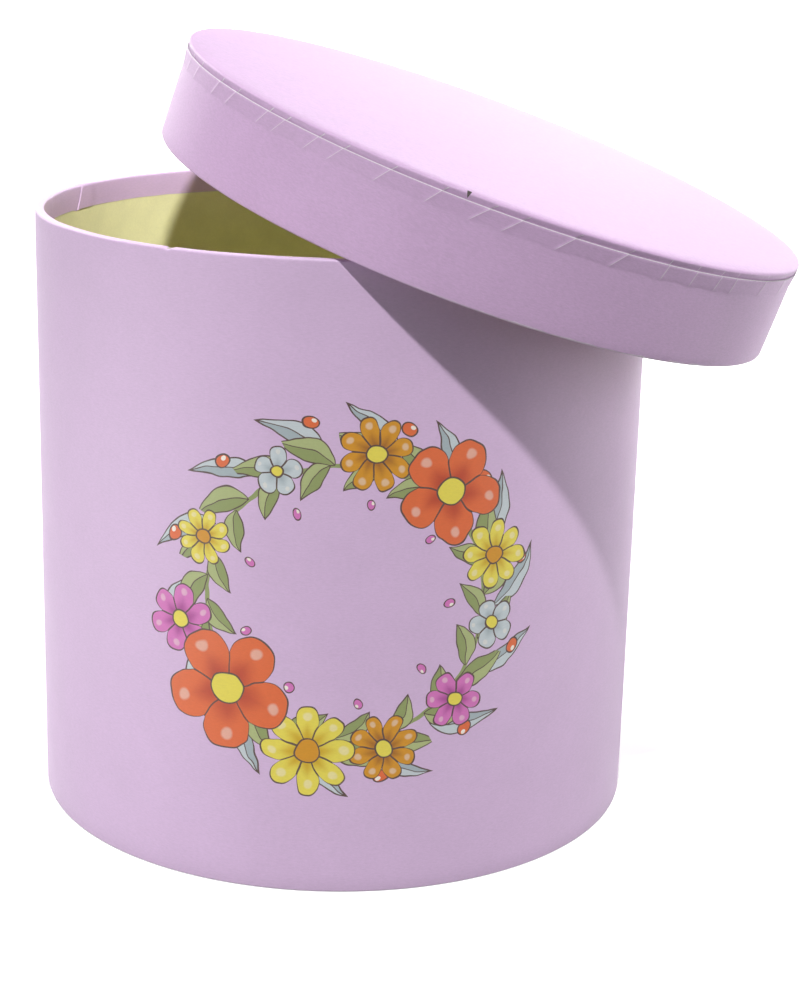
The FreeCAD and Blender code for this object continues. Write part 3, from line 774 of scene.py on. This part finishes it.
# Relief of the lid's papers.
FOLD_BULGE = 0.5 * MM      # the top paper stands out over the tabs where it folds down
FOLD_BOW = 0.05 * MM       # and bows between two cuts
FOLD_ROLL = 0.2 * MM       # roll of the top's edge
CUT_DIP = 0.1 * MM         # dip of that edge at a cut
TAB_RISE = 0.14 * MM       # each tab rises to its end
TAB_TUCK = 0.04 * MM       # and starts tucked under the one before
TAB_LIFT = 0.16 * MM       # the tabs lift the side paper, and flare it out towards its upper edge
TAB_FLARE = 0.42 * MM
TAB_SLOPE = 0.06 * MM      # rise of the side paper along a tab
RIDGE = 0.13 * MM          # ridge over a tab's end
RIDGE_FALL = 0.15 * MM     # slow fall from it to the next tab
TAB_END_WANDER = 0.15 * MM
WHITE_EDGE = 0.25 * MM     # bare cut edge of the side paper


class GIFTBOX_OT_lid_top_paper(bpy.types.Operator):
    """Covering paper on the lid's top, its edge snipped into tabs that are folded down over the rim"""
    bl_idname = "giftbox.lid_top_paper"
    bl_label = "Lid top paper"

    def execute(self, context):
        sizes, colours = context.scene.giftbox_sizes, context.scene.giftbox_colours
        tabs = Tabs()
        top, side = sizes.lid_height, sizes.lid_side
        level = top - sizes.rim_drop
        snip_top, fold_end = top - 0.9 * MM, top - 0.6 * MM
        bm = turned_sheet([
            (0, top, 0, 4),
            (side - 6 * MM, top, 0, 4),
            (side, top, sizes.lid_fold, 1),
            (side, top - 1.3 * MM, 0, 4),
            (side, level - 0.3 * MM, 0, 3),
            (side, top - sizes.tab_reach + 0.4 * MM, 0, 1),
        ], LID_COLUMNS, (0, 0.1))
        for vert in bm.verts:
            turn, radius, height = around(vert.co)
            if radius > side - 6.5 * MM:
                put(vert, gather(turn, tabs.cuts[:-1], 360 / LID_COLUMNS, 2 * SNIP_GAP), radius, height)
        for face in bm.faces:
            turn, _, height = around(face.calc_center_median())
            if height < snip_top and min(tabs.sides(turn)) < SNIP_GAP:
                face.material_index = 1
        for vert in bm.verts:
            turn, radius, height = around(vert.co)
            if radius < side - 7 * MM:
                continue
            after, before = tabs.sides(turn)
            share = after / (after + before)
            down = min(max((fold_end - height) / (fold_end - level), 0), 1)
            lie = TAB_RISE * share**1.5 - TAB_TUCK * math.exp(-after / 0.8)
            bulge = (FOLD_BULGE + FOLD_BOW * math.sin(math.pi * share)) * (1 - down) + lie * down
            rounding = ease(side - 2 * MM, side, radius)
            turn = tabs.slanted(turn, min(height, top - 0.3 * MM), side, level)
            roll = FOLD_ROLL * ease(side - 5 * MM, side, radius)**2
            dip = CUT_DIP * math.exp(-(min(after, before) / 0.5)**2) * rounding
            put(vert, turn, radius + bulge * rounding, height - (roll + dip) * (1 - down))
        bm.transform(lid_place(sizes))
        paper = made_once("worn_covering_paper_with_painted_light", covering_paper, colours, lid=lid_place(sizes))
        core = made_once("paper_core", paper_core, colours)
        finish_piece("lid_top_paper", bm, sizes.paper, [paper, core],
                     "lid", "lid_top_cover")
        return {"FINISHED"}


class GIFTBOX_OT_lid_side_paper(bpy.types.Operator):
    """Covering paper around the lid's rim: over the tabs, which show through it, and turned in below"""
    bl_idname = "giftbox.lid_side_paper"
    bl_label = "Lid side paper"

    def execute(self, context):
        sizes, colours = context.scene.giftbox_sizes, context.scene.giftbox_colours
        tabs = Tabs()
        level = sizes.lid_height - sizes.rim_drop
        low = sizes.lid_height - sizes.tab_reach
        bm = turned_sheet([
            (sizes.lid_inside, sizes.lid_turn_in, 0, 4),
            (sizes.lid_inside, 0, 0.4 * MM, 1),
            (sizes.lid_side, 0, 0.6 * MM, 7),
            (sizes.lid_side, low - 3.6 * MM, 0, 16),
            (sizes.lid_side, low + 1.0 * MM, 0, 4),
            (sizes.lid_side, level - WHITE_EDGE, 0, 1),
            (sizes.lid_side - 0.14 * MM, level, 0, 1),
        ], LID_COLUMNS, (0.3, 0.01))
        for face in bm.faces:
            if face.calc_center_median().z > level - WHITE_EDGE:
                face.material_index = 1
        rubbed_and_highlight = bm.verts.layers.float.new("rubbed_and_highlight")
        for vert in bm.verts:
            turn, radius, height = around(vert.co)
            turn = gather(turn, (*tabs.cuts[:-1], LID_LAP), 360 / LID_COLUMNS, SNIP_GAP)
            past = away(LID_LAP, turn)
            lapped = sizes.paper * (past > 0) * (1 - ease(LID_LAP_WIDTH - 2, LID_LAP_WIDTH, past))
            if radius > sizes.lid_side - 1 * MM:
                after, before = tabs.sides(turn)
                share = after / (after + before)
                end = low + TAB_END_WANDER * wander(turn, 0, 9 * MM)
                over = ease(end - (0.8 + 0.6 * math.cos(math.pi * share)**2) * MM, end + 0.2 * MM, height)
                flare = min(max((height - low) / (level - low), 0), 1)
                ridge = (TAB_SLOPE * share**2 + RIDGE * max(1 - before / 0.2, 0)
                         + RIDGE_FALL * math.exp(-after / 0.7))
                radius += (TAB_LIFT + TAB_FLARE * flare + ridge) * over + lapped
                # Pale over the ridge at each tab's end: a painted highlight on the ridge, and ink worn off
                # it.
                vert[rubbed_and_highlight] = over * (before < SNIP_GAP) * (0.9 + 0.1 * wander(turn, height, 2 * MM))
                free = ease(0, 6 * MM, height) * (1 - over)
                radius += SHEET_SWELL * (1 + wander(turn, height, 22 * MM)) * free
            turn = tabs.slanted(turn, max(height, low - 1 * MM), sizes.lid_side, level)
            put(vert, turn, radius, height)
        bm.transform(lid_place(sizes))
        paper = made_once("worn_covering_paper_with_painted_light", covering_paper, colours, lid=lid_place(sizes))
        core = made_once("paper_core", paper_core, colours)
        finish_piece("lid_side_paper", bm, sizes.paper, [paper, core],
                     "lid", "lid_rim_wrap")
        return {"FINISHED"}


class GIFTBOX_OT_lid_linings(bpy.types.Operator):
    """Lining papers inside the lid: around the rim and on the disc that plugs it"""
    bl_idname = "giftbox.lid_linings"
    bl_label = "Lid linings"

    def execute(self, context):
        sizes, colours = context.scene.giftbox_sizes, context.scene.giftbox_colours
        lining = made_once("uncoated_lining_paper", lining_paper, colours)
        rim = turned_sheet([
            (sizes.lid_lining, 0.4 * MM, 0, 6),
            (sizes.lid_lining, sizes.lid_depth + 2.5 * MM, 0, 1),
        ], 360, (0, 0.01))
        rim.transform(lid_place(sizes))
        finish_piece("lid_rim_lining", rim, sizes.lining, [lining], "lid", "lid_rim_liner")
        disc = turned_sheet([
            (0, sizes.lid_depth, 0, 14),
            (sizes.lid_lining - 0.15 * MM, sizes.lid_depth, 0, 1),
        ], 180, (0, -0.1))
        for vert in disc.verts:
            inward = ease(97 * MM, 90 * MM, vert.co.xy.length)
            vert.co.z -= SHEET_SWELL * (1 + noise.noise(vert.co / (25 * MM))) * inward
        disc.transform(lid_place(sizes))
        finish_piece("lid_inner_lining", disc, sizes.lining, [lining],
                     "lid", "lid_inner_cover")
        return {"FINISHED"}


BOARDS = ("wall_board", "base_board", "lid_top_board", "lid_plug_board", "lid_rim_board")
TAPES = ("wall_joint_tape", "lid_rim_joint_tape")


class GIFTBOX_OT_boards(bpy.types.Operator):
    """Finish of the boards and joint tapes under the papers"""
    bl_idname = "giftbox.boards"
    bl_label = "Boards and tapes"

    def execute(self, context):
        colours = context.scene.giftbox_colours
        board = made_once("recycled_grey_board", grey_board, colours)
        tape = made_once("gummed_kraft_tape", gummed_tape, colours)
        for names, material in ((BOARDS, board), (TAPES, tape)):
            for name in names:
                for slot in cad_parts[name].material_slots:
                    slot.material = material
        return {"FINISHED"}


# Lamps in watts, places and sizes in metres, turns in degrees.
KEY_POWER = 35.5
KEY_PLACE = (0.084, -0.357, 0.618)
KEY_RADIUS = 0.012
BEAM_RISE = 2.0       # how fast the key lamp's beam grows with distance
ROOM_LIGHT = 0.085    # what the room gives to the box, against the white that the camera sees
FLOOR_SIZE = 20.0     # middle to edge
FLOOR_GLOW = 0.6      # keeps the floor pale in the shadow
CAMERA_LENS = 75.30   # millimetres
CAMERA_PLACE = (0.11799, -0.67488, 0.29917)
CAMERA_TURN = (73.577, -1.4795, 8.6131)
# Soft panels: power, place, aim, width, height, and whether they light matt surfaces or only give the
# paper its sheen.
SOFTBOXES = (
    ("left_softbox", 1.15, (-0.45, -0.25, 0.04), (-0.05, 0.0, 0.05), 0.6, 0.07, True),
    ("right_softbox", 4.0, (0.95, 0.15, 0.25), (0.0, 0.0, 0.1), 0.7, 0.7, True),
    ("sheen_softbox", 17.0, (-0.8, 1.6, 0.5), (0.0, 0.0, 0.2), 2.4, 0.6, False),
    ("rear_softbox", 7.0, (0.2, 1.1, 0.25), (0.0, 0.0, 0.1), 0.9, 0.4, True),
    ("top_softbox", 2.2, (-0.25, 0.1, 1.1), (-0.03, 0.0, 0.19), 0.6, 0.6, True),
    ("mouth_softbox", 3.3, (-0.5, 0.4, 0.65), (-0.04, 0.0, 0.15), 0.3, 0.3, True),
)


class GIFTBOX_OT_studio(bpy.types.Operator):
    """Pale floor, key lamp, soft panels and the camera"""
    bl_idname = "giftbox.studio"
    bl_label = "Studio"

    def execute(self, context):
        scene = context.scene
        scene.view_settings.view_transform = "Standard"
        floor_mesh = bpy.data.meshes.new("floor")
        bm = bmesh.new()
        bmesh.ops.create_grid(bm, x_segments=1, y_segments=1, size=FLOOR_SIZE)
        bm.to_mesh(floor_mesh)
        bm.free()
        material, _, shader, _ = new_material("studio_floor")
        shader.inputs["Base Color"].default_value = scene.giftbox_colours.floor
        shader.inputs["Roughness"].default_value = 0.9
        shader.inputs["Emission Color"].default_value = scene.giftbox_colours.floor
        shader.inputs["Emission Strength"].default_value = FLOOR_GLOW
        floor_mesh.materials.append(material)
        floor = bpy.data.objects.new("floor", floor_mesh)
        scene.collection.objects.link(floor)
        # The floor is seen, but throws no light up at the box, as on a small table in a dark room.
        floor.visible_diffuse = False

        world = scene.world or bpy.data.worlds.new("Studio")
        scene.world = world
        world.use_nodes = True
        backdrop = world.node_tree.nodes["Background"]
        backdrop.inputs["Color"].default_value = linear("#ffffff")
        # The room is seen as pale as the floor, but it lights the box far less.
        seen = add(world.node_tree, "LightPath")
        glow = add(world.node_tree, "MapRange", (seen, 0, 1, ROOM_LIGHT, 1.0))
        world.node_tree.links.new(glow, backdrop.inputs["Strength"])

        key = bpy.data.lights.new("key_lamp", "POINT")
        key.energy = KEY_POWER
        key.shadow_soft_size = KEY_RADIUS
        # The lamp stands close above, but its beam lights the wall as much at the foot as under the lid.
        key.use_nodes = True
        tree = key.node_tree
        reach = add(tree, "LightPath").node.outputs["Ray Length"]
        shaped = add(tree, "Math", (reach, BEAM_RISE), operation="MULTIPLY")
        beam = add(tree, "LightFalloff", {"Strength": shaped}).node.outputs["Constant"]
        tree.links.new(beam, tree.nodes["Emission"].inputs["Strength"])
        lamp = bpy.data.objects.new("key_lamp", key)
        lamp.location = KEY_PLACE
        scene.collection.objects.link(lamp)

        for name, power, place, aim, width, height, lights_matt in SOFTBOXES:
            panel = bpy.data.lights.new(name, "AREA")
            panel.energy = power
            panel.shape = "RECTANGLE"
            panel.size = width
            panel.size_y = height
            lamp = bpy.data.objects.new(name, panel)
            lamp.location = place
            lamp.rotation_euler = (Vector(aim) - lamp.location).to_track_quat("-Z", "Y").to_euler()
            lamp.visible_camera = False
            lamp.visible_diffuse = lights_matt
            scene.collection.objects.link(lamp)

        camera = bpy.data.cameras.new("camera")
        camera.lens = CAMERA_LENS
        camera.sensor_width = 36.0
        camera.clip_end = 100.0
        view = bpy.data.objects.new("camera", camera)
        view.location = CAMERA_PLACE
        view.rotation_euler = [math.radians(angle) for angle in CAMERA_TURN]
        scene.collection.objects.link(view)
        scene.camera = view
        return {"FINISHED"}


STEPS = (GIFTBOX_OT_body_paper, GIFTBOX_OT_box_linings, GIFTBOX_OT_lid_top_paper, GIFTBOX_OT_lid_side_paper,
         GIFTBOX_OT_lid_linings, GIFTBOX_OT_boards, GIFTBOX_OT_studio)


class GIFTBOX_PT_panel(bpy.types.Panel):
    """Sizes, colours and building steps of the gift box"""
    bl_idname = "GIFTBOX_PT_panel"
    bl_label = "Gift Box"
    bl_space_type = "VIEW_3D"
    bl_region_type = "UI"
    bl_category = "Gift Box"

    def draw(self, context):
        for step in STEPS:
            self.layout.operator(step.bl_idname)
        for group in (context.scene.giftbox_sizes, context.scene.giftbox_colours):
            column = self.layout.column()
            for name in group.__annotations__:
                column.prop(group, name)


CLASSES = (BoxSizes, BoxColours, *STEPS, GIFTBOX_PT_panel)


def register():
    for kind in CLASSES:
        bpy.utils.register_class(kind)
    bpy.types.Scene.giftbox_sizes = bpy.props.PointerProperty(type=BoxSizes)
    bpy.types.Scene.giftbox_colours = bpy.props.PointerProperty(type=BoxColours)


def unregister():
    del bpy.types.Scene.giftbox_colours
    del bpy.types.Scene.giftbox_sizes
    for kind in reversed(CLASSES):
        bpy.utils.unregister_class(kind)


def main():
    register()
    bpy.ops.giftbox.body_paper()
    bpy.ops.giftbox.box_linings()
    bpy.ops.giftbox.lid_top_paper()
    bpy.ops.giftbox.lid_side_paper()
    bpy.ops.giftbox.lid_linings()
    bpy.ops.giftbox.boards()
    bpy.ops.giftbox.studio()


if __name__ == "__main__":
    main()
